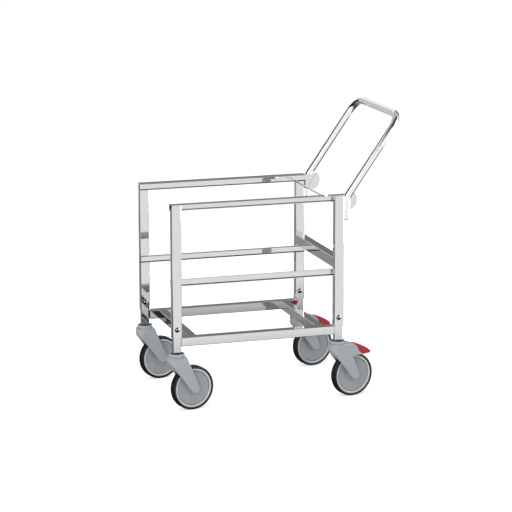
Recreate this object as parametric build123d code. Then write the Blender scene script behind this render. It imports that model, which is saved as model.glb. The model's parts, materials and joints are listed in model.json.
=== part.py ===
from build123d import *
import math
import os

# Equipment stand trolley in polished stainless tube, on four swivel castors.
# Millimetres, +Z up, floor at Z = 0, origin at the middle of the whole outline.
# The push handle is at the +X end, which is the rear. Left is the -Y side.

# Frame: outer faces of the legs, and the level of the leg tops
frame_length = 500.0
frame_width = 360.0
frame_top = 584.0

# Legs: rectangular tube that sleeves down over the stub posts
leg_width = 28.0
leg_depth = 18.0
leg_wall = 2.0
leg_corner = 2.5
stub_gap = 0.2
stub_wall = 1.5
stub_corner = 1.5
stub_show = 44.0
stub_rise = 55.0
bolt_rise = 24.0

# Upper rails: channels bent from strip, with the web facing inwards
rail_inset = 24.0
rail_sheet = 2.0
rail_bend = 4.0
top_rail_height = 20.0
mid_rail_height = 20.0
mid_rail_drop = 212.0
mid_rail_setback = 1.5

# Base rails and cross bars
tube_wall = 1.5
tube_corner = 1.8
base_tube = 25.0
base_bar_setback = 51.0
mid_bar_width = 28.0
mid_bar_height = 29.0
mid_bar_lift = 4.5
top_rod_radius = 2.5
top_rod_setback = 23.5
end_cap_thickness = 1.5
end_cap_gap = 0.1

# Leg bolts: domed head on the -Y face, dome nut on the +Y face
bolt_radius = 4.0
bolt_hole_gap = 0.1
bolt_head_radius = 8.2
bolt_head_height = 4.2
bolt_head_round = 3.4
bolt_socket_radius = 2.6
bolt_socket_depth = 2.2
nut_across = 13.0
nut_height = 4.0
nut_dome_radius = 5.4

# Push handle: one bent round tube, with a round cheek plate at each bend
handle_diameter = 20.0
handle_wall = 1.5
handle_foot = 515.0
handle_bend_level = 576.0
handle_reach = 155.0
handle_height = 798.5
handle_low_radius = 40.0
handle_top_radius = 46.0
plug_lip = 1.5
plug_depth = 8.0
plug_gap = 0.1
cheek_radius = 28.5
cheek_drop = 18.0
cheek_offset = 15.5
rib_width = 7.0
rib_height = 2.5
rib_top_reach = 36.0
rib_bend_reach = 18.0
rib_bend_drop = 23.5
rib_foot_reach = 13.0
rib_foot_drop = 40.0
rib_outer_share = 0.35

# Castors: wheel, fork housing, swivel bearing and its bolt
wheel_diameter = 125.0
tyre_width = 24.0
tyre_thickness = 7.0
tyre_shoulder = 4.5
castor_trail = 47.0
castor_turn = 11.0
wheel_gap = 3.5
side_gap = 3.5
arm_thickness = 5.5
arm_edge = 2.5
crown_height = 31.7
head_radius = 26.5
collar_height = 9.0
collar_radius = 22.0
collar_edge = 1.5
run_gap = 0.3
fit_gap = 0.06
stem_radius = 4.0
stem_head_radius = 6.5
stem_head_height = 8.0
stem_plug_height = 24.0
stem_plug_gap = 0.1
head_web = 15.0
bearing_depth = 13.7
race_bore_radius = 12.5
race_radius = 8.0
race_ball_radius = 2.1
race_ball_count = 12
axle_radius = 4.0
axle_blind = 3.0
washer_radius = 7.5
washer_thickness = 1.0
spacer_radius = 6.0
wheel_bearing_radius = 11.0
wheel_bearing_width = 6.7
wheel_hub_radius = 15.0
wheel_dish_half = 6.0
wheel_disc_half = 9.5
wheel_groove_half = 7.0
wheel_groove_width = 1.5
wheel_ring_width = 7.0
wheel_ring_half = 10.8
wheel_ring_edge = 1.8

# Fork outline: tip round the axle, and corners measured from the swivel axis and the crown top
tip_radius = 13.0
tip_forward = 2.0
tip_start_angle = 12.0
tip_end_angle = -148.0
back_drop = 14.7
front_reach = 22.0
shoulder_reach = 33.0
shoulder_drop = 25.0

# Brake on the two rear castors: a pedal between the cheeks of a hood
hood_reach = 42.0
hood_drop = 1.8
hood_brow_reach = 54.0
hood_brow_drop = 12.0
hood_cheek_reach = 59.5
hood_cheek_drop = 25.0
hood_nose_reach = 70.5
hood_nose_drop = 35.0
hood_foot_reach = 40.0
hood_foot_drop = 39.2
brake_slot_start = 15.0
brake_slot_drop = 8.7
brake_mouth_start = 43.5
pedal_side_gap = 1.0
pedal_tyre_gap = 0.8
pedal_pivot_reach = 26.0
pedal_pivot_drop = 16.7
pedal_boss_back = 5.5
pedal_boss_top_drop = 11.5
pedal_boss_slope = 4.0
pedal_neck_reach = 44.3
pedal_neck_drop = 10.5
pedal_step_drop = 4.0
pedal_crest_reach = 84.0
pedal_crest_drop = 16.9
pedal_tip_reach = 102.0
pedal_tip_drop = 31.2
pedal_lip_reach = 98.5
pedal_lip_drop = 36.2
pedal_heel_reach = 76.0
pedal_heel_drop = 37.7
pedal_throat_reach = 58.0
pedal_pocket_start = 59.5
pedal_pocket_start_drop = 20.0
pedal_pocket_end = 90.0
pedal_pocket_end_drop = 25.0
pedal_pin_radius = 2.5
pedal_pin_cover = 2.5
pedal_edge = 1.5
pad_start = 33.0
pad_end = 45.0
pad_half = 10.0
pad_gap = 2.9
pad_top_drop = 25.0
leaf_start = 17.0
leaf_end = 40.0
leaf_half = 4.0
leaf_thickness = 0.8

# Levels and faces worked out from the sizes above
wheel_radius = wheel_diameter / 2
arm_inner = tyre_width / 2 + side_gap
arm_outer = arm_inner + arm_thickness
wheel_hub_half = arm_inner - washer_thickness
pedal_half = arm_inner - pedal_side_gap
pedal_pin_half = arm_outer - pedal_pin_cover
crown_top = wheel_diameter + crown_height
collar_bottom = crown_top + run_gap
stub_bottom = collar_bottom + collar_height
leg_bottom = stub_bottom + stub_show
bolt_level = leg_bottom + bolt_rise
base_top = leg_bottom
base_bottom = base_top - base_tube
leg_top = frame_top - rail_sheet
top_rail_bottom = frame_top - top_rail_height
mid_rail_top = frame_top - mid_rail_drop
mid_rail_bottom = mid_rail_top - mid_rail_height
mid_bar_bottom = mid_rail_top + mid_bar_lift

# The whole outline runs from the front fork heads to the back of the grip
grip_x_from_front = frame_length + handle_diameter / 2 + handle_reach
outline_front = leg_width / 2 - head_radius
outline_rear = grip_x_from_front + handle_diameter / 2
front_x = -(outline_front + outline_rear) / 2
rear_x = front_x + frame_length
side_y = frame_width / 2
leg_inner_y = side_y - leg_depth
rail_inner_y = side_y - rail_inset
leg_centre_y = side_y - leg_depth / 2
stub_inset = leg_wall + stub_gap
stub_width = leg_width - 2 * stub_inset
stub_depth = leg_depth - 2 * stub_inset
base_outer_y = side_y - stub_inset
base_inner_y = base_outer_y - base_tube
handle_radius = handle_diameter / 2
handle_x = rear_x + handle_radius

corners = {
    "front_left": (front_x + leg_width / 2, -leg_centre_y),
    "rear_left": (rear_x - leg_width / 2, -leg_centre_y),
    "front_right": (front_x + leg_width / 2, leg_centre_y),
    "rear_right": (rear_x - leg_width / 2, leg_centre_y),
}
braked = ("rear_left", "rear_right")
sides = {"left": -1, "right": 1}


def block(x_low, x_high, y_low, y_high, z_low, z_high):
    """A box between two corners."""
    centre = ((x_low + x_high) / 2, (y_low + y_high) / 2, (z_low + z_high) / 2)
    return Pos(*centre) * Box(x_high - x_low, y_high - y_low, z_high - z_low)


def upright_rod(x, y, z_low, z_high, radius):
    """A round rod along Z."""
    return Pos(x, y, (z_low + z_high) / 2) * Cylinder(radius, z_high - z_low)


def cross_rod(x, z, y_low, y_high, radius):
    """A round rod along Y."""
    return Pos(x, (y_low + y_high) / 2, z) * Rot(90, 0, 0) * Cylinder(radius, y_high - y_low)


def square_tube(x_range, y_range, z_range, run, wall, corner):
    """A rectangular tube that runs along one axis, with rounded long edges and open ends."""
    outer = block(*x_range, *y_range, *z_range)
    outer = fillet(outer.edges().filter_by(run), corner)
    shrink = {Axis.X: (0, wall, wall), Axis.Y: (wall, 0, wall), Axis.Z: (wall, wall, 0)}[run]
    ranges = zip((x_range, y_range, z_range), shrink)
    bore = [side for (low, high), cut in ranges for side in (low + cut, high - cut)]
    return outer - block(*bore)


def side_range(side, inner, outer):
    """The Y range of something that lies between two distances from the middle, on one side."""
    return (inner, outer) if side > 0 else (-outer, -inner)


def make_leg(x, y):
    """Sleeve leg: a tube with a bolt hole near its foot."""
    tube = square_tube(
        (x - leg_width / 2, x + leg_width / 2),
        (y - leg_depth / 2, y + leg_depth / 2),
        (leg_bottom, leg_top),
        Axis.Z, leg_wall, leg_corner)
    hole = cross_rod(x, bolt_level, y - leg_depth, y + leg_depth, bolt_radius + bolt_hole_gap)
    return tube - hole


def make_stub(x, y):
    """Stub post of the base: it stands up inside the leg and takes the castor bolt below."""
    tube = square_tube(
        (x - stub_width / 2, x + stub_width / 2),
        (y - stub_depth / 2, y + stub_depth / 2),
        (stub_bottom, leg_bottom + stub_rise),
        Axis.Z, stub_wall, stub_corner)
    hole = cross_rod(x, bolt_level, y - leg_depth, y + leg_depth, bolt_radius + bolt_hole_gap)
    return tube - hole


def make_stem_plug(x, y):
    """Threaded block pressed into the foot of a stub post."""
    half_x = stub_width / 2 - stub_wall - stem_plug_gap
    half_y = stub_depth / 2 - stub_wall - stem_plug_gap
    plug = block(x - half_x, x + half_x, y - half_y, y + half_y,
                 stub_bottom, stub_bottom + stem_plug_height)
    return plug - upright_rod(x, y, stub_bottom, stub_bottom + stem_plug_height,
                              stem_radius + fit_gap)


def make_leg_bolt(x, y):
    """Bolt across a leg, with a domed head on its -Y face."""
    face = y - leg_depth / 2
    head = cross_rod(x, bolt_level, face - bolt_head_height, face, bolt_head_radius)
    rim = head.edges().filter_by(GeomType.CIRCLE).sort_by(Axis.Y)[0]
    head = fillet(rim, bolt_head_round)
    socket = cross_rod(x, bolt_level, face - bolt_head_height,
                       face - bolt_head_height + bolt_socket_depth, bolt_socket_radius)
    shank = cross_rod(x, bolt_level, face, y + leg_depth / 2 + nut_height, bolt_radius)
    return head - socket + shank


def make_leg_nut(x, y):
    """Dome nut that closes a leg bolt on the +Y face."""
    face = y + leg_depth / 2
    hexagon = Rot(90, 0, 0) * extrude(RegularPolygon(nut_across / 2, 6, major_radius=False), nut_height)
    hexagon = Pos(x, face + nut_height, bolt_level) * hexagon
    dome = Pos(x, face + nut_height, bolt_level) * Sphere(nut_dome_radius)
    dome = dome & block(x - nut_across, x + nut_across, face + nut_height,
                        face + nut_height + nut_dome_radius,
                        bolt_level - nut_across, bolt_level + nut_across)
    bore = cross_rod(x, bolt_level, face, face + nut_height, bolt_radius)
    return hexagon - bore + dome


def bent_rail(side, flange_reach, x_low, x_high, z_low, z_high):
    """Bent channel along the legs of one side: its web faces inwards, its flanges point outwards."""
    web = rail_inner_y + rail_sheet
    outline = [
        (flange_reach, z_high),
        (rail_inner_y, z_high),
        (rail_inner_y, z_low),
        (leg_inner_y, z_low),
        (leg_inner_y, z_low + rail_sheet),
        (web, z_low + rail_sheet),
        (web, z_high - rail_sheet),
        (flange_reach, z_high - rail_sheet),
    ]
    wire = Polyline(*[(x_low, side * y, z) for y, z in outline], close=True)
    rail = extrude(make_face(wire), x_high - x_low, dir=(1, 0, 0))
    for bend_y, radius in ((rail_inner_y, rail_bend), (web, rail_bend - rail_sheet)):
        edges = rail.edges().filter_by(Axis.X)
        rail = fillet([edge for edge in edges if abs(abs(edge.center().Y) - bend_y) < 0.01], radius)
    return rail


def make_top_rail(side):
    """Channel whose wide upper flange lies over the two leg tops of one side."""
    return bent_rail(side, side_y, front_x, rear_x, top_rail_bottom, frame_top)


def make_mid_rail(side):
    """Channel on the inner faces of the two legs of one side."""
    return bent_rail(side, leg_inner_y, front_x + mid_rail_setback, rear_x - mid_rail_setback,
                     mid_rail_bottom, mid_rail_top)


def end_cap(x_low, x_high, y_range, z_range):
    """Plate that closes the end of a rail, just inside its wall."""
    cut = tube_wall + end_cap_gap
    return block(x_low, x_high, y_range[0] + cut, y_range[1] - cut, z_range[0] + cut, z_range[1] - cut)


def make_base_rail_caps():
    """End plates of the two base rails."""
    caps = []
    setback = leg_width - stub_inset
    for side in sides.values():
        y_range = side_range(side, base_inner_y, base_outer_y)
        front = front_x + setback
        rear = rear_x - setback
        caps.append(end_cap(front, front + end_cap_thickness, y_range, (base_bottom, base_top)))
        caps.append(end_cap(rear - end_cap_thickness, rear, y_range, (base_bottom, base_top)))
    return caps


def make_base_rail(side):
    """Long base rail between the two stub posts of one side."""
    setback = leg_width - stub_inset
    return square_tube((front_x + setback, rear_x - setback),
                       side_range(side, base_inner_y, base_outer_y),
                       (base_bottom, base_top), Axis.X, tube_wall, tube_corner)


def make_base_bar(x_low):
    """Cross bar of the base, between the two base rails."""
    return square_tube((x_low, x_low + base_tube), (-base_inner_y, base_inner_y),
                       (base_bottom, base_top), Axis.Y, tube_wall, tube_corner)


def make_mid_bar():
    """Cross bar between the rear legs, just above the middle rails."""
    return square_tube((rear_x - mid_bar_width, rear_x), (-leg_inner_y, leg_inner_y),
                       (mid_bar_bottom, mid_bar_bottom + mid_bar_height),
                       Axis.Y, tube_wall, tube_corner)


def make_top_rod():
    """Round rod between the rear legs, just under the top rails."""
    return cross_rod(rear_x - top_rod_setback, top_rail_bottom - top_rod_radius,
                     -leg_inner_y, leg_inner_y, top_rod_radius)


def handle_path():
    """Centre line of the handle: up a rear leg, out and up, across the grip and back down."""
    grip_x = handle_x + handle_reach
    points = [
        (handle_x, -leg_centre_y, handle_foot),
        (handle_x, -leg_centre_y, handle_bend_level),
        (grip_x, -leg_centre_y, handle_height),
        (grip_x, leg_centre_y, handle_height),
        (handle_x, leg_centre_y, handle_bend_level),
        (handle_x, leg_centre_y, handle_foot),
    ]
    radii = [handle_low_radius, handle_top_radius, handle_top_radius, handle_low_radius]
    return FilletPolyline(*points, radius=radii)


def make_handle():
    """Push handle: one round tube bent at four places."""
    path = handle_path()
    start = Plane(origin=(handle_x, -leg_centre_y, handle_foot), z_dir=(0, 0, 1))
    outer = sweep(start * Circle(handle_radius), path)
    inner = sweep(start * Circle(handle_radius - handle_wall), path)
    return outer - inner


def make_handle_plug(y):
    """Plug that closes one foot of the handle tube."""
    lip = upright_rod(handle_x, y, handle_foot - plug_lip, handle_foot, handle_radius)
    body = upright_rod(handle_x, y, handle_foot, handle_foot + plug_depth,
                       handle_radius - handle_wall - plug_gap)
    return lip + body


def rib_bar(start, end, y_low, y_high):
    """Straight stretch of the cheek plate's raised rib, between two points of the XZ plane."""
    run_x = end[0] - start[0]
    run_z = end[1] - start[1]
    length = math.hypot(run_x, run_z)
    tilt = -math.degrees(math.atan2(run_z, run_x))
    middle = ((start[0] + end[0]) / 2, (y_low + y_high) / 2, (start[1] + end[1]) / 2)
    bar = Pos(*middle) * Rot(0, tilt, 0) * Box(length, y_high - y_low, rib_width)
    return bar + cross_rod(*start, y_low, y_high, rib_width / 2)


def make_cheek(side):
    """Round cheek plate at a handle bend, in line with the rail's web, with a rib that follows the tube."""
    inner = rail_inner_y
    outer = leg_centre_y - handle_radius
    centre_x = rear_x + cheek_offset
    centre_z = frame_top - cheek_drop
    reach = centre_x + cheek_radius
    base = centre_z - cheek_radius
    disc = cross_rod(centre_x, centre_z, inner, outer, cheek_radius)
    plate = disc & block(rear_x, reach, inner, outer, base, frame_top)
    top = (rear_x + rib_top_reach, frame_top)
    bend = (rear_x + rib_bend_reach, frame_top - rib_bend_drop)
    foot = (rear_x + rib_foot_reach, frame_top - rib_foot_drop)
    rib = rib_bar(bend, top, inner - rib_height, inner) + rib_bar(foot, bend, inner - rib_height, inner)
    rib = rib & block(rear_x, reach, inner - rib_height, inner, base, frame_top)
    low = (top[0] + (bend[0] - top[0]) * rib_outer_share, top[1] + (bend[1] - top[1]) * rib_outer_share)
    outer_rib = rib_bar(low, top, outer, outer + rib_height)
    outer_rib = outer_rib & block(rear_x, reach, outer, outer + rib_height, base, frame_top)
    cheek = plate + rib + outer_rib
    return cheek if side > 0 else mirror(cheek, Plane.XZ)


def fork_outline(with_brake):
    """Side face of a fork in the XZ plane, swivel axis at X = 0."""
    tip_x = castor_trail + tip_forward
    angles = (tip_start_angle, (tip_start_angle + tip_end_angle) / 2, tip_end_angle)
    arc_points = []
    for angle in angles:
        turn = math.radians(angle)
        arc_points.append((tip_x + tip_radius * math.cos(turn), 0,
                           wheel_radius + tip_radius * math.sin(turn)))
    if with_brake:
        front = [
            (hood_reach, 0, crown_top - hood_drop),
            (hood_brow_reach, 0, crown_top - hood_brow_drop),
            (hood_cheek_reach, 0, crown_top - hood_cheek_drop),
            (hood_nose_reach, 0, crown_top - hood_nose_drop),
            (hood_foot_reach, 0, crown_top - hood_foot_drop),
        ]
    else:
        front = [(shoulder_reach, 0, crown_top - shoulder_drop)]
    points = [arc_points[2], (-head_radius, 0, crown_top - back_drop), (-head_radius, 0, crown_top),
              (front_reach, 0, crown_top)] + front + [arc_points[0]]
    return make_face(Polyline(*points) + ThreePointArc(*arc_points))


def make_fork(with_brake):
    """Fork housing: a round head with two arms that sweep back to the axle."""
    body = extrude(fork_outline(with_brake), arm_outer, both=True)
    far = castor_trail + wheel_radius
    plan = Pos(0, 0, crown_top / 2) * Cylinder(head_radius, crown_top)
    plan += block(0, far, -arm_outer, arm_outer, 0, crown_top)
    body = body & plan
    body = fillet(body.faces().filter_by(Plane.XZ).edges(), arm_edge)
    body -= cross_rod(castor_trail, wheel_radius, -arm_inner, arm_inner, wheel_radius + wheel_gap)
    body -= cross_rod(castor_trail, wheel_radius, -arm_inner - axle_blind, arm_inner + axle_blind,
                      axle_radius + fit_gap)
    web_top = crown_top - bearing_depth
    web_bottom = web_top - head_web
    body -= upright_rod(0, 0, web_bottom, web_top, stem_radius + fit_gap)
    body -= upright_rod(0, 0, wheel_diameter / 2, web_bottom, stem_head_radius + side_gap)
    body -= upright_rod(0, 0, web_top, crown_top, race_bore_radius)
    if with_brake:
        body -= block(brake_slot_start, far, -arm_inner, arm_inner,
                      wheel_radius, crown_top - brake_slot_drop)
        body -= block(brake_mouth_start, far, -arm_inner, arm_inner, wheel_radius, crown_top)
        body -= cross_rod(pedal_pivot_reach, crown_top - pedal_pivot_drop,
                          -pedal_pin_half, pedal_pin_half, pedal_pin_radius)
    return body


def make_collar():
    """Fixed collar between a stub post and the swivelling head."""
    ring = upright_rod(0, 0, collar_bottom, stub_bottom, collar_radius)
    ring = chamfer(ring.edges().filter_by(GeomType.CIRCLE), collar_edge)
    return ring - upright_rod(0, 0, collar_bottom, stub_bottom, stem_radius + fit_gap)


def make_stem():
    """Castor bolt: its head carries the fork, its shank screws into the stem plug."""
    web_bottom = crown_top - bearing_depth - head_web
    head_top = web_bottom - run_gap
    head = upright_rod(0, 0, head_top - stem_head_height, head_top, stem_head_radius)
    shank = upright_rod(0, 0, head_top, stub_bottom + stem_plug_height, stem_radius)
    return head + shank


def make_swivel_bearing():
    """Inner race and ball ring of the swivel head, held under the collar."""
    race_bottom = crown_top - bearing_depth + run_gap
    race = upright_rod(0, 0, race_bottom, collar_bottom, race_radius)
    race -= upright_rod(0, 0, race_bottom, collar_bottom, stem_radius + fit_gap)
    level = (race_bottom + collar_bottom) / 2
    pitch = race_radius + race_ball_radius
    balls = []
    for index in range(race_ball_count):
        turn = 2 * math.pi * index / race_ball_count
        balls.append(Pos(pitch * math.cos(turn), pitch * math.sin(turn), level)
                     * Sphere(race_ball_radius))
    return [race] + balls


def ring_solid(outline):
    """Turn a closed outline of radius and half-width points round the axle."""
    points = [(castor_trail + radius, width, wheel_radius) for radius, width in outline]
    face = make_face(Polyline(*points, close=True))
    return revolve(face, Axis((castor_trail, 0, wheel_radius), (0, 1, 0)))


def make_wheel_centre():
    """Wheel body: hub, dished disc, groove and rim ring in one moulding."""
    rim_radius = wheel_radius - tyre_thickness
    ring_radius = rim_radius - wheel_ring_width
    disc_radius = ring_radius - wheel_groove_width
    half_outline = [
        (wheel_bearing_radius, wheel_hub_half),
        (wheel_hub_radius, wheel_hub_half),
        (wheel_hub_radius, wheel_dish_half),
        (disc_radius, wheel_disc_half),
        (disc_radius, wheel_groove_half),
        (ring_radius, wheel_groove_half),
        (ring_radius, wheel_ring_half - wheel_ring_edge),
        (ring_radius + wheel_ring_edge, wheel_ring_half),
        (rim_radius - wheel_ring_edge, wheel_ring_half),
        (rim_radius, wheel_ring_half - wheel_ring_edge),
    ]
    mirrored = [(radius, -width) for radius, width in reversed(half_outline)]
    return ring_solid(half_outline + mirrored)


def make_tyre():
    """Rubber tyre with rounded shoulders, seated on the rim."""
    half = tyre_width / 2
    tyre = cross_rod(castor_trail, wheel_radius, -half, half, wheel_radius)
    tyre = fillet(tyre.edges().filter_by(GeomType.CIRCLE), tyre_shoulder)
    return tyre - cross_rod(castor_trail, wheel_radius, -half, half, wheel_radius - tyre_thickness)


def make_wheel_bearings():
    """Two ball bearings in the hub, one at each end."""
    outer_face = wheel_hub_half - run_gap
    rings = []
    for side in sides.values():
        low, high = side_range(side, outer_face - wheel_bearing_width, outer_face)
        ring = cross_rod(castor_trail, wheel_radius, low, high, wheel_bearing_radius)
        rings.append(ring - cross_rod(castor_trail, wheel_radius, low, high, axle_radius + fit_gap))
    return rings


def make_axle():
    """Axle pin in the blind bores of the arms, with its spacer and two washers."""
    half = arm_inner + axle_blind
    pin = cross_rod(castor_trail, wheel_radius, -half, half, axle_radius)
    spacer_half = wheel_hub_half - wheel_bearing_width - 2 * run_gap
    pieces = [pin]
    rings = [(-spacer_half, spacer_half, spacer_radius),
             (-arm_inner, -arm_inner + washer_thickness, washer_radius),
             (arm_inner - washer_thickness, arm_inner, washer_radius)]
    for low, high, radius in rings:
        ring = cross_rod(castor_trail, wheel_radius, low, high, radius)
        pieces.append(ring - cross_rod(castor_trail, wheel_radius, low, high, axle_radius + fit_gap))
    return pieces


def make_pedal():
    """Brake pedal: a hollow tongue between the hood's cheeks, which turns on a pin under its roof."""
    back = pedal_pivot_reach - pedal_boss_back
    neck = (pedal_neck_reach, 0, crown_top - pedal_step_drop)
    crest = (pedal_crest_reach, 0, crown_top - pedal_crest_drop)
    tip = (pedal_tip_reach, 0, crown_top - pedal_tip_drop)
    under = [
        tip,
        (pedal_lip_reach, 0, crown_top - pedal_lip_drop),
        (pedal_heel_reach, 0, crown_top - pedal_heel_drop),
        (pedal_throat_reach, 0, crown_top - pad_top_drop),
        (back + pedal_boss_slope, 0, crown_top - pad_top_drop),
        (back, 0, crown_top - pad_top_drop + pedal_boss_slope),
        (back, 0, crown_top - pedal_boss_top_drop),
        (pedal_neck_reach, 0, crown_top - pedal_neck_drop),
        neck,
    ]
    outline = make_face(Polyline(*under) + ThreePointArc(neck, crest, tip))
    pedal = extrude(outline, pedal_half, both=True)
    pedal = fillet(pedal.faces().filter_by(Plane.XZ).edges(), pedal_edge)
    pocket = make_face(Polyline(
        (pedal_pocket_start, 0, wheel_radius),
        (pedal_pocket_start, 0, crown_top - pedal_pocket_start_drop),
        (pedal_pocket_end, 0, crown_top - pedal_pocket_end_drop),
        (pedal_pocket_end, 0, wheel_radius),
        close=True))
    pedal -= extrude(pocket, tyre_width / 2 + pedal_tyre_gap, both=True)
    return pedal - cross_rod(pedal_pivot_reach, crown_top - pedal_pivot_drop,
                             -pedal_half, pedal_half, pedal_pin_radius + fit_gap)


def make_brake_pad():
    """Pad under the pedal that comes down towards the tyre."""
    pad = block(pad_start, pad_end, -pad_half, pad_half, wheel_diameter, crown_top - pad_top_drop)
    return pad - cross_rod(castor_trail, wheel_radius, -pad_half, pad_half, wheel_radius + pad_gap)


def make_brake_pin():
    """Pin that the pedal turns on."""
    return cross_rod(pedal_pivot_reach, crown_top - pedal_pivot_drop,
                     -pedal_pin_half, pedal_pin_half, pedal_pin_radius)


def make_brake_leaf():
    """Leaf spring under the roof of the housing."""
    roof = crown_top - brake_slot_drop
    return block(leaf_start, leaf_end, -leaf_half, leaf_half, roof - leaf_thickness, roof)


def place(shape, corner):
    """Put a castor piece, or a list of them, under one corner, swivelled as the castors stand at rest."""
    spot = Pos(*corners[corner], 0) * Rot(0, 0, castor_turn)
    if isinstance(shape, list):
        return [spot * solid for solid in shape]
    return spot * shape


nodes = {}

for corner, (leg_x, leg_y) in corners.items():
    nodes["leg_" + corner] = make_leg(leg_x, leg_y)
    nodes["stub_post_" + corner] = make_stub(leg_x, leg_y)

nodes["leg_bolts"] = [make_leg_bolt(*spot) for spot in corners.values()]
nodes["leg_bolt_nuts"] = [make_leg_nut(*spot) for spot in corners.values()]
nodes["castor_stem_plugs"] = [make_stem_plug(*spot) for spot in corners.values()]

for name, side in sides.items():
    nodes["top_rail_" + name] = make_top_rail(side)
    nodes["mid_rail_" + name] = make_mid_rail(side)
    nodes["base_rail_" + name] = make_base_rail(side)
    nodes["handle_cheek_" + name] = make_cheek(side)

nodes["base_rail_caps"] = make_base_rail_caps()
nodes["base_bar_front"] = make_base_bar(front_x + base_bar_setback)
nodes["base_bar_rear"] = make_base_bar(rear_x - base_bar_setback - base_tube)
nodes["mid_cross_bar"] = make_mid_bar()
nodes["top_cross_rod"] = make_top_rod()
nodes["push_handle"] = make_handle()
nodes["handle_end_plugs"] = [make_handle_plug(side * leg_centre_y) for side in sides.values()]

nodes["castor_collars"] = [place(make_collar(), corner) for corner in corners]
nodes["castor_stems"] = [place(make_stem(), corner) for corner in corners]
nodes["swivel_bearings"] = [ball for corner in corners for ball in place(make_swivel_bearing(), corner)]

for corner in corners:
    nodes["castor_fork_" + corner] = place(make_fork(corner in braked), corner)
    nodes["wheel_centre_" + corner] = place(make_wheel_centre(), corner)
    nodes["tyre_" + corner] = place(make_tyre(), corner)
    nodes["wheel_bearings_" + corner] = place(make_wheel_bearings(), corner)
    nodes["axle_" + corner] = place(make_axle(), corner)

for corner in braked:
    nodes["brake_pedal_" + corner] = place(make_pedal(), corner)
    nodes["brake_pad_" + corner] = place(make_brake_pad(), corner)
    nodes["brake_pin_" + corner] = place(make_brake_pin(), corner)
    nodes["brake_leaf_" + corner] = place(make_brake_leaf(), corner)

os.makedirs("parts", exist_ok=True)
for name, shape in nodes.items():
    solids = shape if isinstance(shape, list) else [shape]
    export_step(Compound(children=[piece for solid in solids for piece in solid.solids()]),
                "parts/" + name + ".step")
print(len(nodes), "nodes")
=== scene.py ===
import json
import math

import bpy
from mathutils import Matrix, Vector


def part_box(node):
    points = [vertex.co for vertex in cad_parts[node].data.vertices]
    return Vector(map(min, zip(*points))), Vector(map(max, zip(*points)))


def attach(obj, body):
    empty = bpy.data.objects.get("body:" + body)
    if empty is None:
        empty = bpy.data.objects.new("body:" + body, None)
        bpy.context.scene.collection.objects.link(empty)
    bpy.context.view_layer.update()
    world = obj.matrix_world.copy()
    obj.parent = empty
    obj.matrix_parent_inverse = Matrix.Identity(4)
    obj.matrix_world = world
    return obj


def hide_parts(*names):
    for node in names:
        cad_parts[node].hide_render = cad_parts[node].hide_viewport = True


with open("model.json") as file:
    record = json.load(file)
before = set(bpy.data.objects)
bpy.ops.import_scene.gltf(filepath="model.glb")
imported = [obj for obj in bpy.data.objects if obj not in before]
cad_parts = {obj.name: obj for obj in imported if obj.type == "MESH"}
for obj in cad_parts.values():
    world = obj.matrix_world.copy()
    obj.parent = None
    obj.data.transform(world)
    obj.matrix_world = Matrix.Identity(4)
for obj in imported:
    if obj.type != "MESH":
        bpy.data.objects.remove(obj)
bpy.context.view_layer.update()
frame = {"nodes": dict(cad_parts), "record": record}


# Base frame: two long rails, two cross bars and four stub posts of stainless tube, welded into one, with a
# thin plate over each end of the rails. The tube is cold drawn, ground along its length and buffed until it
# is close to a mirror.

corners = ["front_left", "rear_left", "front_right", "rear_right"]


def ink(code):
    """An sRGB colour in hex, turned to linear."""
    channels = [int(code[at:at + 2], 16) / 255 for at in (1, 3, 5)]
    linear = [c / 12.92 if c <= 0.04045 else ((c + 0.055) / 1.055) ** 2.4 for c in channels]
    return (*linear, 1.0)


def add(tree, kind, inputs=None, **settings):
    """A node with its settings, and a value or a source socket for each of its inputs."""
    node = tree.nodes.new(kind)
    for name, value in settings.items():
        setattr(node, name, value)
    for key, value in (inputs or {}).items():
        if isinstance(value, bpy.types.NodeSocket):
            tree.links.new(value, node.inputs[key])
        else:
            node.inputs[key].default_value = value
    return node


def finish_named(name):
    """A new material, its tree with only the output in it, and that output."""
    finish = bpy.data.materials.new(name)
    finish.use_nodes = True
    finish.node_tree.nodes.clear()
    output = add(finish.node_tree, "ShaderNodeOutputMaterial")
    return finish, finish.node_tree, output


def buffed_stainless(name, grain_source, line_scale, light, dark):
    """Stainless steel, ground and buffed: the eye gets a mirror with faint polishing lines."""
    patch_scale = 16.0  # the buffing wheel lingered on patches about 60 mm long
    least_rough, most_rough = 0.03, 0.06
    ridge_strength, ridge_height = 0.015, 0.0002
    finish, tree, output = finish_named(name)
    if grain_source == "grain":
        source = add(tree, "ShaderNodeAttribute", attribute_name="grain").outputs["Vector"]
    else:
        source = add(tree, "ShaderNodeTexCoord").outputs["Object"]
    along = add(tree, "ShaderNodeMapping", {"Vector": source, "Scale": line_scale})
    lines = add(tree, "ShaderNodeTexNoise", {"Vector": along.outputs[0], "Scale": 1.0, "Detail": 2.0})
    patches = add(tree, "ShaderNodeTexNoise", {"Vector": source, "Scale": patch_scale, "Detail": 2.0})
    tone = add(tree, "ShaderNodeMix", {"Factor": patches.outputs["Fac"], "A": ink(light), "B": ink(dark)},
               data_type="RGBA")
    shine = add(tree, "ShaderNodeMapRange",
                {"Value": lines.outputs["Fac"], "To Min": least_rough, "To Max": most_rough})
    ridges = add(tree, "ShaderNodeBump",
                 {"Height": lines.outputs["Fac"], "Strength": ridge_strength, "Distance": ridge_height})
    steel = add(tree, "ShaderNodeBsdfPrincipled",
                {"Base Color": tone.outputs["Result"], "Metallic": 1.0,
                 "Roughness": shine.outputs["Result"], "Normal": ridges.outputs["Normal"]})
    tree.links.new(steel.outputs["BSDF"], output.inputs["Surface"])
    return finish


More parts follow.
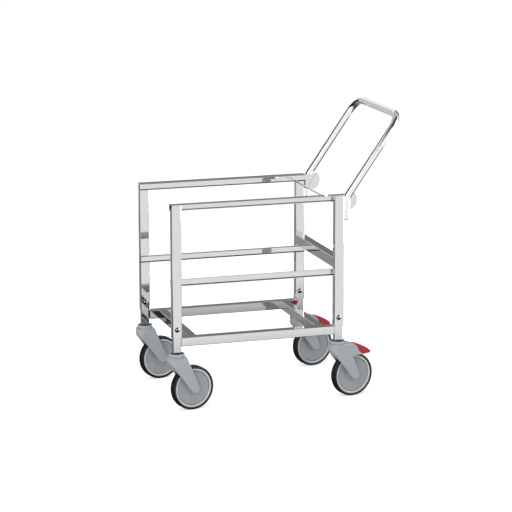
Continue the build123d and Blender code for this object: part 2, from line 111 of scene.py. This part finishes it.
# polishing lines 4 mm apart, far coarser than real so that they show: 250 mm long on tube, 50 mm on plate
long_lines = (4.0, 250.0, 250.0)
upright_lines = (250.0, 250.0, 20.0)
steel_light, steel_dark = "#DEDFE0", "#D4D5D6"
tube_steel = buffed_stainless("buffed stainless tube", "grain", long_lines, steel_light, steel_dark)
plate_steel = buffed_stainless("buffed stainless plate", "object", upright_lines, steel_light, steel_dark)


def geometry_tree(name, sizes):
    """A new Geometry Nodes tree with named size inputs, and its two end nodes."""
    tree = bpy.data.node_groups.new(name, "GeometryNodeTree")
    tree.interface.new_socket("Geometry", in_out="INPUT", socket_type="NodeSocketGeometry")
    for size, kind in sizes.items():
        tree.interface.new_socket(size, in_out="INPUT", socket_type="NodeSocket" + kind)
    tree.interface.new_socket("Geometry", in_out="OUTPUT", socket_type="NodeSocketGeometry")
    return tree, add(tree, "NodeGroupInput").outputs, add(tree, "NodeGroupOutput")


def close_tree(tree, end, geometry, material):
    """Finish a tree: real geometry, hard edges where its faces turn sharply, and its material."""
    sharp_turn = math.radians(35)
    real = add(tree, "GeometryNodeRealizeInstances", {"Geometry": geometry})
    angle = add(tree, "GeometryNodeInputMeshEdgeAngle")
    hard = add(tree, "FunctionNodeCompare", {"A": angle.outputs["Unsigned Angle"], "B": sharp_turn},
               data_type="FLOAT", operation="GREATER_THAN")
    creased = add(tree, "GeometryNodeSetShadeSmooth",
                  {"Geometry": real.outputs[0], "Selection": hard.outputs[0], "Shade Smooth": False},
                  domain="EDGE")
    dressed = add(tree, "GeometryNodeSetMaterial", {"Geometry": creased.outputs[0], "Material": material})
    tree.links.new(dressed.outputs[0], end.inputs[0])


def grown(name, tree, sizes, start=None, even=True):
    """A plain mesh object from a Geometry Nodes tree. Even leaves its flat faces shaded flat."""
    piece = bpy.data.objects.new(name, start or bpy.data.meshes.new(name))
    bpy.context.scene.collection.objects.link(piece)
    rule = piece.modifiers.new("rule", "NODES")
    rule.node_group = tree
    for item in tree.interface.items_tree:
        if item.in_out == "INPUT" and item.name in sizes:
            rule[item.identifier] = sizes[item.name]
    if even:
        even_out = piece.modifiers.new("even", "WEIGHTED_NORMAL")
        even_out.weight, even_out.keep_sharp = 100, True
    depsgraph = bpy.context.evaluated_depsgraph_get()
    mesh = bpy.data.meshes.new_from_object(piece.evaluated_get(depsgraph))
    piece.modifiers.clear()
    piece.data = mesh
    mesh.name = name
    return piece


# each tube is the long section of its wall, carried round the outline of the tube
drawn_tube, size, end = geometry_tree("drawn tube", {
    "Length": "Float", "Width": "Float", "Depth": "Float", "Wall": "Float", "Corner": "Float",
    "Edge": "Float", "Centre": "Vector", "Turn": "Vector", "Steel": "Material"})
middle_width = add(drawn_tube, "ShaderNodeMath", {0: size["Width"], 1: size["Wall"]}, operation="SUBTRACT")
middle_depth = add(drawn_tube, "ShaderNodeMath", {0: size["Depth"], 1: size["Wall"]}, operation="SUBTRACT")
half_wall = add(drawn_tube, "ShaderNodeMath", {0: size["Wall"], 1: 0.5}, operation="MULTIPLY")
middle_corner = add(drawn_tube, "ShaderNodeMath", {0: size["Corner"], 1: half_wall.outputs[0]},
                    operation="SUBTRACT")
outline = add(drawn_tube, "GeometryNodeCurvePrimitiveQuadrilateral",
              {"Width": middle_width.outputs[0], "Height": middle_depth.outputs[0]})
outline = add(drawn_tube, "GeometryNodeFilletCurve",
              {"Curve": outline.outputs[0], "Count": 5, "Radius": middle_corner.outputs[0]}, mode="POLY")
around = add(drawn_tube, "GeometryNodeSplineParameter")
outline = add(drawn_tube, "GeometryNodeCaptureAttribute", {"Geometry": outline.outputs[0]})
outline.capture_items.new("FLOAT", "around")
drawn_tube.links.new(around.outputs["Length"], outline.inputs["around"])
section = add(drawn_tube, "GeometryNodeCurvePrimitiveQuadrilateral",
              {"Width": size["Wall"], "Height": size["Length"]})
section = add(drawn_tube, "GeometryNodeFilletCurve",
              {"Curve": section.outputs[0], "Count": 3, "Radius": size["Edge"]}, mode="POLY")
lengthwise = add(drawn_tube, "GeometryNodeInputPosition")
section = add(drawn_tube, "GeometryNodeCaptureAttribute", {"Geometry": section.outputs[0]})
section.capture_items.new("VECTOR", "along")
drawn_tube.links.new(lengthwise.outputs[0], section.inputs["along"])
wall = add(drawn_tube, "GeometryNodeCurveToMesh",
           {"Curve": outline.outputs[0], "Profile Curve": section.outputs[0]})
along_parts = add(drawn_tube, "ShaderNodeSeparateXYZ", {0: section.outputs["along"]})
grain = add(drawn_tube, "ShaderNodeCombineXYZ",
            {"X": along_parts.outputs["Y"], "Y": outline.outputs["around"], "Z": along_parts.outputs["X"]})
wall = add(drawn_tube, "GeometryNodeStoreNamedAttribute",
           {"Geometry": wall.outputs[0], "Name": "grain", "Value": grain.outputs[0]},
           data_type="FLOAT_VECTOR", domain="POINT")
wall = add(drawn_tube, "GeometryNodeTransform",
           {"Geometry": wall.outputs[0], "Translation": size["Centre"], "Rotation": size["Turn"]})
wall = add(drawn_tube, "GeometryNodeSetShadeSmooth", {"Geometry": wall.outputs[0]})
close_tree(drawn_tube, end, wall.outputs[0], size["Steel"])


def lay_tube(node, along, wall_thickness, corner_radius):
    """The tube that stands for a CAD node, lying along X, Y or Z in the node's own box."""
    sawn_edge = 0.0004
    low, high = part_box(node)
    reach = high - low
    width, depth, length, turn = {
        "X": (reach.z, reach.y, reach.x, (0.0, math.pi / 2, 0.0)),
        "Y": (reach.x, reach.z, reach.y, (-math.pi / 2, 0.0, 0.0)),
        "Z": (reach.x, reach.y, reach.z, (0.0, 0.0, 0.0)),
    }[along]
    tube = grown(node + "_tube", drawn_tube, {
        "Length": length, "Width": width, "Depth": depth, "Wall": wall_thickness, "Corner": corner_radius,
        "Edge": sawn_edge, "Centre": (low + high) / 2, "Turn": turn, "Steel": tube_steel})
    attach(tube, "frame")
    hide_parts(node)


def dress(node, finish):
    """A CAD node that keeps its own shape takes a finish."""
    piece = frame["nodes"][node]
    piece.data.materials.clear()
    piece.data.materials.append(finish)
    return piece


base_wall, base_corner = 0.0015, 0.0018
for node in ("base_rail_left", "base_rail_right"):
    lay_tube(node, "X", base_wall, base_corner)
for node in ("base_bar_front", "base_bar_rear"):
    lay_tube(node, "Y", base_wall, base_corner)
for corner in corners:
    lay_tube("stub_post_" + corner, "Z", base_wall, base_corner)
dress("base_rail_caps", plate_steel)


# Legs: four lengths of rectangular stainless tube, 28 by 18 mm, that sleeve down over the stub posts and
# are bolted to them. The flange of the upper rails covers their tops.

leg_wall, leg_corner = 0.002, 0.0025
for corner in corners:
    lay_tube("leg_" + corner, "Z", leg_wall, leg_corner)


# Rails: four channels, folded from 2 mm stainless strip and welded to the legs with their webs facing
# inwards. The upper pair's wide flange lies over the leg tops.

# the section's outline carries the radius of each bend, and runs along the rail
bent_channel, size, end = geometry_tree("bent channel",
                                        {"Start": "Vector", "End": "Vector", "Steel": "Material"})
bend = add(bent_channel, "GeometryNodeInputNamedAttribute", {"Name": "bend"}, data_type="FLOAT")
section = add(bent_channel, "GeometryNodeMeshToCurve", {0: size["Geometry"]})
section = add(bent_channel, "GeometryNodeFilletCurve",
              {"Curve": section.outputs[0], "Count": 8, "Radius": bend.outputs[0]}, mode="POLY")
run = add(bent_channel, "GeometryNodeCurvePrimitiveLine", {"Start": size["Start"], "End": size["End"]})
strip = add(bent_channel, "GeometryNodeCurveToMesh",
            {"Curve": run.outputs[0], "Profile Curve": section.outputs[0], "Fill Caps": True})
strip = add(bent_channel, "GeometryNodeSetShadeSmooth", {"Geometry": strip.outputs[0]})
close_tree(bent_channel, end, strip.outputs[0], size["Steel"])


def section_of(name, turns):
    """A closed outline from its corners, each with the radius of its bend."""
    outline = bpy.data.meshes.new(name + " section")
    outline.from_pydata([(-across, -up, 0.0) for across, up, bend in turns],
                        [(at, (at + 1) % len(turns)) for at in range(len(turns))], [])
    outline.attributes.new("bend", "FLOAT", "POINT").data.foreach_set("value", [turn[2] for turn in turns])
    return outline


rail_steel = buffed_stainless("buffed stainless strip", "object", long_lines, steel_light, steel_dark)
# how far the rails' faces lie from the middle of the frame
web_face, leg_face, flange_end = 0.156, 0.162, 0.180
strip_thickness, cut_edge = 0.002, 0.0003
top_bend, low_bend, low_inner_bend, top_inner_bend = 0.0025, 0.0055, 0.0035, 0.001


def lay_channel(node, side, flange_reach):
    """The bent channel that stands for a rail's CAD node. Side is -1 for left and 1 for right."""
    low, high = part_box(node)
    back, under, over = web_face + strip_thickness, high.z - strip_thickness, low.z + strip_thickness
    turns = [(flange_reach, high.z, cut_edge), (web_face, high.z, top_bend), (web_face, low.z, low_bend),
             (leg_face, low.z, cut_edge), (leg_face, over, cut_edge), (back, over, low_inner_bend),
             (back, under, top_inner_bend), (flange_reach, under, cut_edge)]
    # the left rails run the other way round, so that their faces still point outwards
    turns = [(side * across, up, bend) for across, up, bend in turns[::side]]
    channel = grown(node + "_channel", bent_channel,
                    {"Start": (low.x, 0, 0), "End": (high.x, 0, 0), "Steel": rail_steel},
                    section_of(node, turns))
    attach(channel, "frame")
    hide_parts(node)


for side, hand in (("left", -1), ("right", 1)):
    lay_channel("top_rail_" + side, hand, flange_end)
    lay_channel("mid_rail_" + side, hand, leg_face)


# Cross bars at the handle end: a deep stainless tube above the middle rails, and a thin round rod under
# the upper rails. Both are welded between the two sides.

lay_tube("mid_cross_bar", "Y", base_wall, base_corner)
dress("top_cross_rod", plate_steel)


# Push handle: one 20 mm stainless tube, bent at four places on a former and buffed brighter than the
# frame. Each foot is welded to the back of a rear leg and closed by a black plug of moulded polythene.

# the centre line carries the radius of each bend
bent_tube, size, end = geometry_tree("bent tube", {"Radius": "Float", "Steel": "Material"})
bend = add(bent_tube, "GeometryNodeInputNamedAttribute", {"Name": "bend"}, data_type="FLOAT")
path = add(bent_tube, "GeometryNodeMeshToCurve", {0: size["Geometry"]})
path = add(bent_tube, "GeometryNodeFilletCurve",
           {"Curve": path.outputs[0], "Count": 20, "Radius": bend.outputs[0]}, mode="POLY")
travelled = add(bent_tube, "GeometryNodeSplineParameter")
path = add(bent_tube, "GeometryNodeCaptureAttribute", {"Geometry": path.outputs[0]})
path.capture_items.new("FLOAT", "travelled")
bent_tube.links.new(travelled.outputs["Length"], path.inputs["travelled"])
ring = add(bent_tube, "GeometryNodeCurvePrimitiveCircle", {"Resolution": 48, "Radius": size["Radius"]})
place = add(bent_tube, "GeometryNodeInputPosition")
ring = add(bent_tube, "GeometryNodeCaptureAttribute", {"Geometry": ring.outputs[0]})
ring.capture_items.new("VECTOR", "round")
bent_tube.links.new(place.outputs[0], ring.inputs["round"])
skin = add(bent_tube, "GeometryNodeCurveToMesh",
           {"Curve": path.outputs[0], "Profile Curve": ring.outputs[0]})
round_parts = add(bent_tube, "ShaderNodeSeparateXYZ", {0: ring.outputs["round"]})
grain = add(bent_tube, "ShaderNodeCombineXYZ",
            {"X": path.outputs["travelled"], "Y": round_parts.outputs["X"], "Z": round_parts.outputs["Y"]})
skin = add(bent_tube, "GeometryNodeStoreNamedAttribute",
           {"Geometry": skin.outputs[0], "Name": "grain", "Value": grain.outputs[0]},
           data_type="FLOAT_VECTOR", domain="POINT")
skin = add(bent_tube, "GeometryNodeSetShadeSmooth", {"Geometry": skin.outputs[0]})
close_tree(bent_tube, end, skin.outputs[0], size["Steel"])

handle_radius = 0.010
foot_x, grip_x, arm_y = 0.17875, 0.33375, 0.171
foot_level, bend_level, grip_level = 0.515, 0.576, 0.7985
arm_bend, grip_bend = 0.040, 0.046
handle_points = [(foot_x, -arm_y, foot_level), (foot_x, -arm_y, bend_level), (grip_x, -arm_y, grip_level),
                 (grip_x, arm_y, grip_level), (foot_x, arm_y, bend_level), (foot_x, arm_y, foot_level)]
handle_bends = [0.0, arm_bend, grip_bend, grip_bend, arm_bend, 0.0]
centre_line = bpy.data.meshes.new("handle centre line")
centre_line.from_pydata(handle_points, [(at, at + 1) for at in range(len(handle_points) - 1)], [])
centre_line.attributes.new("bend", "FLOAT", "POINT").data.foreach_set("value", handle_bends)
handle_steel = buffed_stainless("bright buffed stainless", "grain", long_lines, "#F4F4F5", "#EEEEEF")
push_handle = grown("push_handle_tube", bent_tube, {"Radius": handle_radius, "Steel": handle_steel},
                    centre_line, even=False)
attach(push_handle, "frame")
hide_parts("push_handle")


def fine_grained(name, light, dark, least_rough, most_rough, grain_size, bump, metallic=0.0):
    """Moulded plastic or plated steel: two close tones that flow through it, and a fine grain in metres."""
    flow_scale = 30.0  # the melt cooled in clouds about 33 mm long
    grain_height = 0.0002
    finish, tree, output = finish_named(name)
    source = add(tree, "ShaderNodeTexCoord").outputs["Object"]
    grain = add(tree, "ShaderNodeTexNoise", {"Vector": source, "Scale": 1.0 / grain_size, "Detail": 2.0})
    flow = add(tree, "ShaderNodeTexNoise", {"Vector": source, "Scale": flow_scale, "Detail": 2.0})
    tone = add(tree, "ShaderNodeMix", {"Factor": flow.outputs["Fac"], "A": ink(light), "B": ink(dark)},
               data_type="RGBA")
    shine = add(tree, "ShaderNodeMapRange",
                {"Value": grain.outputs["Fac"], "To Min": least_rough, "To Max": most_rough})
    skin = add(tree, "ShaderNodeBump",
               {"Height": grain.outputs["Fac"], "Strength": bump, "Distance": grain_height})
    surface = add(tree, "ShaderNodeBsdfPrincipled",
                  {"Base Color": tone.outputs["Result"], "Metallic": metallic,
                   "Roughness": shine.outputs["Result"], "Normal": skin.outputs["Normal"], "IOR": 1.5})
    tree.links.new(surface.outputs["BSDF"], output.inputs["Surface"])
    return finish


# the spark-eroded grain of a mould, about ten times coarser than real so that it shows
mould_grain = 0.0008
# moulded polythene: the eye gets a waxy black with a soft sheen
black_polythene = fine_grained("black polythene", "#141415", "#1A1A1B", 0.35, 0.5, mould_grain, 0.15)
dress("handle_end_plugs", black_polythene)


# Cheek plates: two round stainless plates, pressed with ribs and buffed. One stands behind each rear leg,
# welded to it and to the inside of the handle's bend.

for node in ("handle_cheek_left", "handle_cheek_right"):
    dress(node, plate_steel)


# Leg bolts: a steel bolt with a domed head goes through the foot of each leg and its stub post. The heads
# are plated in black nickel, and zinc plated dome nuts hold them on the far side.

# a turned piece is a half section carried round its axis, with a copy at each place that holds its aim
axis_room = 0.1  # the half section lies this far from the curve that carries it
turned_piece, size, end = geometry_tree("turned piece", {"Places": "Object", "Finish": "Material"})
bend = add(turned_piece, "GeometryNodeInputNamedAttribute", {"Name": "bend"}, data_type="FLOAT")
section = add(turned_piece, "GeometryNodeMeshToCurve", {0: size["Geometry"]})
section = add(turned_piece, "GeometryNodeFilletCurve",
              {"Curve": section.outputs[0], "Count": 6, "Radius": bend.outputs[0]}, mode="POLY")
hoop = add(turned_piece, "GeometryNodeCurvePrimitiveCircle", {"Resolution": 128, "Radius": axis_room})
skin = add(turned_piece, "GeometryNodeCurveToMesh",
           {"Curve": hoop.outputs[0], "Profile Curve": section.outputs[0]})
skin = add(turned_piece, "GeometryNodeSetShadeSmooth", {"Geometry": skin.outputs[0]})
spots = add(turned_piece, "GeometryNodeObjectInfo", {"Object": size["Places"]})
aim = add(turned_piece, "GeometryNodeInputNamedAttribute", {"Name": "aim"}, data_type="FLOAT_VECTOR")
copies = add(turned_piece, "GeometryNodeInstanceOnPoints",
             {"Points": spots.outputs["Geometry"], "Instance": skin.outputs[0], "Rotation": aim.outputs[0]})
close_tree(turned_piece, end, copies.outputs[0], size["Finish"])


def turn_on_lathe(name, half_section, places, finish):
    """Copies of a turned piece. Its half section gives radius, height along the axis and bend, clockwise."""
    spots_mesh = bpy.data.meshes.new("places")
    spots_mesh.from_pydata([place for place, aim in places], [], [])
    spots_mesh.attributes.new("aim", "FLOAT_VECTOR", "POINT").data.foreach_set(
        "vector", [angle for place, aim in places for angle in aim])
    marks = bpy.data.objects.new("places", spots_mesh)
    bpy.context.scene.collection.objects.link(marks)
    outline = section_of(name, [(axis_room - radius, height, bend) for radius, height, bend in half_section])
    piece = grown(name, turned_piece, {"Places": marks, "Finish": finish}, outline)
    bpy.data.objects.remove(marks)
    return piece


bolt_level = 0.234
bolt_spots = []
for corner in corners:
    low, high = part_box("leg_" + corner)
    bolt_spots.append((((low.x + high.x) / 2, low.y, bolt_level), (math.pi / 2, 0.0, 0.0)))
# the dome is the top of a ball that is sunk into the leg, with a flat too small to see at its pole
dome_radius, dome_sink, pole_flat = 0.0083, 0.0041, 0.0002
dome = [(pole_flat, 0.0, 0.0)] + [(dome_radius * math.sin(math.radians(slope)) + pole_flat,
                                   dome_radius * math.cos(math.radians(slope)) - dome_sink, 0.0)
                                  for slope in range(0, 61, 10)]
# black nickel plate on a buffed dome: the eye gets a darker mirror than the leg's
nickel = buffed_stainless("black nickel plate", "object", upright_lines, "#8E8E90", "#868688")
domes = turn_on_lathe("leg_bolt_domes", dome, bolt_spots, nickel)
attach(domes, "frame")
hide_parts("leg_bolts")
# zinc plated steel: the eye gets a pale grey metal, duller than the stainless
zinc = fine_grained("bright zinc plated steel", "#9FA2A4", "#8C9092", 0.25, 0.4, 0.0005, 0.1, metallic=1.0)
dress("leg_bolt_nuts", zinc)


# Collars between the stub posts and the castors: each is a dished ring of moulded nylon, held by the
# castor's bolt. A black ring in the dish is painted shade: it gives the dark line at the post's foot, where
# the recess lies in shade.

# moulded nylon: the eye gets a mid grey with a soft sheen that spreads along the rounded edges
fork_nylon = fine_grained("grey moulded nylon", "#A9AEB2", "#A2A8AD", 0.35, 0.5, mould_grain, 0.15)
collar_low, collar_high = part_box("castor_collars")
base, top = collar_low.z, collar_high.z
collar_spots = []
for corner in corners:
    low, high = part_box("leg_" + corner)
    collar_spots.append((((low.x + high.x) / 2, (low.y + high.y) / 2, 0.0), (0.0, 0.0, 0.0)))
bore, shade_ring_edge, dish, dish_mouth, outside = 0.0085, 0.0184, 0.0185, 0.0188, 0.0220
dish_floor, shade_ring_foot, shade_ring_top = top - 0.0040, top - 0.0039, top - 0.0022
collar_ring = [(bore, base, 0.0), (bore, dish_floor, 0.0), (dish, dish_floor, 0.0),
               (dish_mouth, top, 0.0008), (outside, top, 0.0018), (outside, base, 0.0010)]
# the black ring in the dish is painted shade, standing for the shade in the recess at the post's foot
painted_shade_ring = [(bore, shade_ring_foot, 0.0), (bore, shade_ring_top, 0.0), (shade_ring_edge, shade_ring_top, 0.0),
             (shade_ring_edge, shade_ring_foot, 0.0)]
for name, ring, finish in (("collar_rings", collar_ring, fork_nylon),
                           ("collar_seals", painted_shade_ring, black_polythene)):
    piece = turn_on_lathe(name, ring, collar_spots, finish)
    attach(piece, "frame")
    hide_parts("castor_collars")


# Castor forks: a moulded nylon housing swivels on a ball bearing under each post. A zinc plated bolt goes
# up through the bearing into a threaded plug inside the post.

for corner in corners:
    dress("castor_fork_" + corner, fork_nylon)
for node in ("castor_stems", "swivel_bearings"):
    dress(node, zinc)
dress("castor_stem_plugs", black_polythene)


# Wheels: a moulded nylon disc with a paler rim, partly its own polished tone and partly a painted highlight,
# and a tyre of thermoplastic rubber moulded on.
# Each turns on two ball bearings, on a zinc plated axle pin whose ends sit in the fork's arms.

# wheel nylon: the eye gets a matt grey, a little darker than the fork, and a rim whose paler colour is
# partly its own and partly a painted highlight
wheel_nylon = fine_grained("grey moulded wheel nylon", "#A0A6AA", "#989EA3", 0.4, 0.55, mould_grain, 0.15)
pale_rim_and_highlight_nylon = fine_grained("pale rim nylon with painted highlight", "#D2D5D7", "#C8CBCE", 0.2, 0.3, mould_grain, 0.05)
# thermoplastic rubber: the eye gets a near black with hardly any sheen, in a grain of its own
tyre_rubber = fine_grained("dark thermoplastic rubber", "#0E0E0F", "#151516", 0.5, 0.7, 0.0006, 0.3)
axles = {joint["child"]: joint for joint in frame["record"]["behaviour"]["joints"]
         if "wheel_spin" in joint["name"]}
tread, tyre_seat, tyre_side = 0.0625, 0.0555, 0.0119
seat_side, shoulder = 0.0105, 0.0572
tyre_section = [(tyre_seat, -seat_side, 0.0), (tyre_seat, seat_side, 0.0), (shoulder, tyre_side, 0.001),
                (tread, tyre_side, 0.0045), (tread, -tyre_side, 0.0045), (shoulder, -tyre_side, 0.001)]
rim_root, rim_middle, hub, hub_end = 0.0484, 0.0020, 0.0150, 0.0145
near_rim = [(rim_root, rim_middle, 0.0), (0.0495, rim_middle, 0.0), (0.0500, 0.0108, 0.0014),
            (0.0550, 0.0108, 0.0020), (tyre_seat, 0.0080, 0.0)]
near_disc = [(0.0110, hub_end, 0.0), (hub, hub_end, 0.0010), (hub, 0.0060, 0.0025),
             (rim_root, 0.0078, 0.0014), (rim_root, rim_middle, 0.0)]
for corner in corners:
    axle = axles["road_wheel_" + corner]
    turn = math.atan2(-axle["axis"][0], axle["axis"][1])
    place = [(tuple(axle["pos_m"]), (math.pi / 2, 0.0, turn))]
    for name, half, finish, node, slot in (
            ("tyre_band_", tyre_section, tyre_rubber, "tyre_", "tyre_rubber"),
            ("wheel_disc_", near_disc, wheel_nylon, "wheel_centre_", "wheel_plastic"),
            ("wheel_rim_", near_rim, pale_rim_and_highlight_nylon, "wheel_centre_", "wheel_plastic")):
        far_half = [(radius, -height, bend) for radius, height, bend in reversed(half)]
        full = half if half is tyre_section else half + far_half
        piece = turn_on_lathe(name + corner, full, place, finish)
        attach(piece, "road_wheel_" + corner)
        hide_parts(node + corner)
    dress("wheel_bearings_" + corner, zinc)
    dress("axle_" + corner, zinc)


# Brakes: a red pedal of moulded nylon on each rear castor tips on a steel pin against a leaf spring, and
# brings a rubber pad down to the tyre.

# red nylon: the eye gets a deep red with the same soft sheen as the fork
pedal_red = fine_grained("red moulded nylon", "#B60C18", "#A60A14", 0.35, 0.48, mould_grain, 0.15)
for corner in ("rear_left", "rear_right"):
    dress("brake_pedal_" + corner, pedal_red)
    dress("brake_pad_" + corner, tyre_rubber)
    dress("brake_pin_" + corner, zinc)
    dress("brake_leaf_" + corner, zinc)


# Studio: a pale paper floor, soft boxes overhead and at the left, glowing cards that only polished metal and
# gloss show, which paint reflections and highlights into them, and the camera at the photograph's viewing
# angle.

floor_half, paper_white, paper_glow = 20.0, 0.8, 0.52
floor_mesh = bpy.data.meshes.new("floor")
floor_mesh.from_pydata([(-floor_half, -floor_half, 0), (floor_half, -floor_half, 0),
                        (floor_half, floor_half, 0), (-floor_half, floor_half, 0)], [], [(0, 1, 2, 3)])
floor = bpy.data.objects.new("floor", floor_mesh)
bpy.context.scene.collection.objects.link(floor)

# white paper: the camera and glass see it glow to white under the object's shadow, and gloss sees it white
paper, tree, output = finish_named("white paper floor")
ray = add(tree, "ShaderNodeLightPath")
seen = add(tree, "ShaderNodeMath", {0: ray.outputs["Is Camera Ray"], 1: ray.outputs["Is Transmission Ray"]},
           operation="MAXIMUM")
diffuse = add(tree, "ShaderNodeBsdfDiffuse", {"Color": (paper_white, paper_white, paper_white, 1)})
glow = add(tree, "ShaderNodeEmission", {"Color": (1, 1, 1, 1), "Strength": paper_glow})
lit = add(tree, "ShaderNodeAddShader", {0: diffuse.outputs[0], 1: glow.outputs[0]})
mirrored = add(tree, "ShaderNodeEmission", {"Color": (1, 1, 1, 1), "Strength": 1.0})
mix = add(tree, "ShaderNodeMixShader", {0: seen.outputs[0], 1: diffuse.outputs[0], 2: lit.outputs[0]})
mix = add(tree, "ShaderNodeMixShader",
          {0: ray.outputs["Is Glossy Ray"], 1: mix.outputs[0], 2: mirrored.outputs[0]})
tree.links.new(mix.outputs[0], output.inputs["Surface"])
floor_mesh.materials.append(paper)

# the air is white to the camera, gloss and glass, and lights the object more weakly
air_light, air_seen = 0.62, 1.0
world = bpy.data.worlds.new("studio air")
world.use_nodes = True
bpy.context.scene.world = world
air = world.node_tree
air.nodes.clear()
ray = add(air, "ShaderNodeLightPath")
seen = add(air, "ShaderNodeMath", {0: ray.outputs["Is Camera Ray"], 1: ray.outputs["Is Glossy Ray"]},
           operation="MAXIMUM")
seen = add(air, "ShaderNodeMath", {0: seen.outputs[0], 1: ray.outputs["Is Transmission Ray"]},
           operation="MAXIMUM")
strength = add(air, "ShaderNodeMapRange",
               {"Value": seen.outputs[0], "To Min": air_light, "To Max": air_seen})
backdrop = add(air, "ShaderNodeBackground", {"Color": (1, 1, 1, 1), "Strength": strength.outputs["Result"]})
air_out = add(air, "ShaderNodeOutputWorld")
air.links.new(backdrop.outputs[0], air_out.inputs["Surface"])

# card: a painted reflection that glows, though it is no lamp, in the shade of grey that each of its corners
# carries
painted_reflection_grey, tree, output = finish_named("painted reflection card")
shade = add(tree, "ShaderNodeAttribute", attribute_name="shade")
plain = add(tree, "ShaderNodeEmission", {"Color": (1, 1, 1, 1), "Strength": shade.outputs["Fac"]})
tree.links.new(plain.outputs[0], output.inputs["Surface"])


def set_painted_reflection_card(name, places, first_shade, last_shade):
    """A flat glowing card that only gloss sees, a painted reflection, with one shade along its first two
    corners and one along its last two.
    """
    mesh = bpy.data.meshes.new(name)
    mesh.from_pydata(places, [], [range(len(places))])
    mesh.attributes.new("shade", "FLOAT", "POINT").data.foreach_set(
        "value", [first_shade, first_shade, last_shade, last_shade])
    card = bpy.data.objects.new(name, mesh)
    bpy.context.scene.collection.objects.link(card)
    mesh.materials.append(painted_reflection_grey)
    for kind in ("visible_camera", "visible_diffuse", "visible_transmission", "visible_volume_scatter",
                 "visible_shadow"):
        setattr(card, kind, False)


# lying cards of painted reflection, the dark ones painting dark edge lines into the steel: reach along X,
# reach along Y, level, and the shades of the near and the far edge
for name, (left, right), (near, far), level, near_shade, far_shade in (
        ("grey floor behind left", (-3.0, -0.1), (0.25, 2.6), 0.003, 0.33, 0.33),
        ("grey floor behind right", (-0.1, 3.0), (0.7, 2.6), 0.003, 0.5, 0.5),
        ("black floor under", (-0.6, 1.5), (0.0, 0.3), 0.004, 0.02, 0.02),
        ("grey floor under", (-0.6, 1.5), (0.3, 0.7), 0.004, 0.12, 0.28),
        ("black floor nearer", (-0.6, 1.5), (-0.35, 0.0), 0.003, 0.02, 0.02),
        ("floor edge in front", (-0.45, 1.5), (-0.95, -0.35), 0.003, 1.0, 0.3),
        ("black floor left", (-2.2, -0.2), (-1.3, 0.25), 0.002, 0.04, 0.04),
        ("dark ceiling in front", (-1.9, 2.5), (-4.5, 0.0), 2.6, 0.1, 0.1),
        ("grey ceiling behind", (-1.9, 2.5), (0.0, 2.6), 2.6, 0.5, 0.5)):
    set_painted_reflection_card(name, [(left, near, level), (right, near, level), (right, far, level), (left, far, level)],
             near_shade, far_shade)

# a standing card of painted dark reflection that narrows towards its head
set_painted_reflection_card("black card left", [(-2.2, -1.3, 0.0), (-2.2, 2.6, 0.0), (-2.2, 2.6, 3.2), (-2.2, 0.55, 3.2)],
         0.02, 0.02)

# standing cards of painted reflection, the bright one a painted highlight on the bolt domes and rounded
# edges: the two ends of the foot, the levels of foot and head, and the shades there
for name, (start_x, start_y), (stop_x, stop_y), (foot, head), foot_shade, head_shade in (
        ("black card behind left", (-2.2, 2.6), (-1.0, 2.6), (0.0, 2.4), 0.02, 0.02),
        ("pale card behind", (-1.0, 2.6), (0.2, 2.6), (0.0, 2.0), 0.6, 0.6),
        ("grey backdrop foot", (0.2, 2.6), (2.5, 2.6), (0.0, 1.14), 0.25, 0.2),
        ("backdrop ramp", (0.2, 2.6), (2.5, 2.6), (1.14, 1.26), 0.2, 1.0),
        ("dark card behind right", (1.6, 2.5), (4.0, 1.6), (0.0, 3.2), 0.1, 0.1),
        ("bright card right", (1.3, -1.3), (1.3, -0.25), (0.2, 1.3), 8.0, 8.0)):
    set_painted_reflection_card(name, [(start_x, start_y, foot), (stop_x, stop_y, foot), (stop_x, stop_y, head),
                    (start_x, start_y, head)], foot_shade, head_shade)


def lamp(name, place, width, power):
    """A square soft box that points at the middle of the frame."""
    light = bpy.data.lights.new(name, "AREA")
    light.size = width
    light.energy = power
    box = bpy.data.objects.new(name, light)
    box.location = place
    box.rotation_euler = (Vector((0, 0, 0.4)) - Vector(place)).to_track_quat("-Z", "Y").to_euler()
    bpy.context.scene.collection.objects.link(box)


lamp("overhead soft box", (-0.6, -1.0, 3.2), 2.2, 48)
lamp("left soft box", (-2.6, -2.2, 1.6), 1.6, 30)

camera_data = bpy.data.cameras.new("photograph")
camera_data.sensor_width = 36.0
camera_data.lens = 157.5
camera = bpy.data.objects.new("photograph", camera_data)
azimuth, elevation = math.radians(-17.64), math.radians(12.42)
back = Vector((math.sin(azimuth) * math.cos(elevation), -math.cos(azimuth) * math.cos(elevation),
               math.sin(elevation)))
camera.location = (-1.92275, -5.9434, 1.7596)
camera.rotation_euler = back.to_track_quat("Z", "Y").to_euler()
bpy.context.scene.collection.objects.link(camera)
bpy.context.scene.camera = camera
bpy.context.scene.view_settings.view_transform = "Standard"
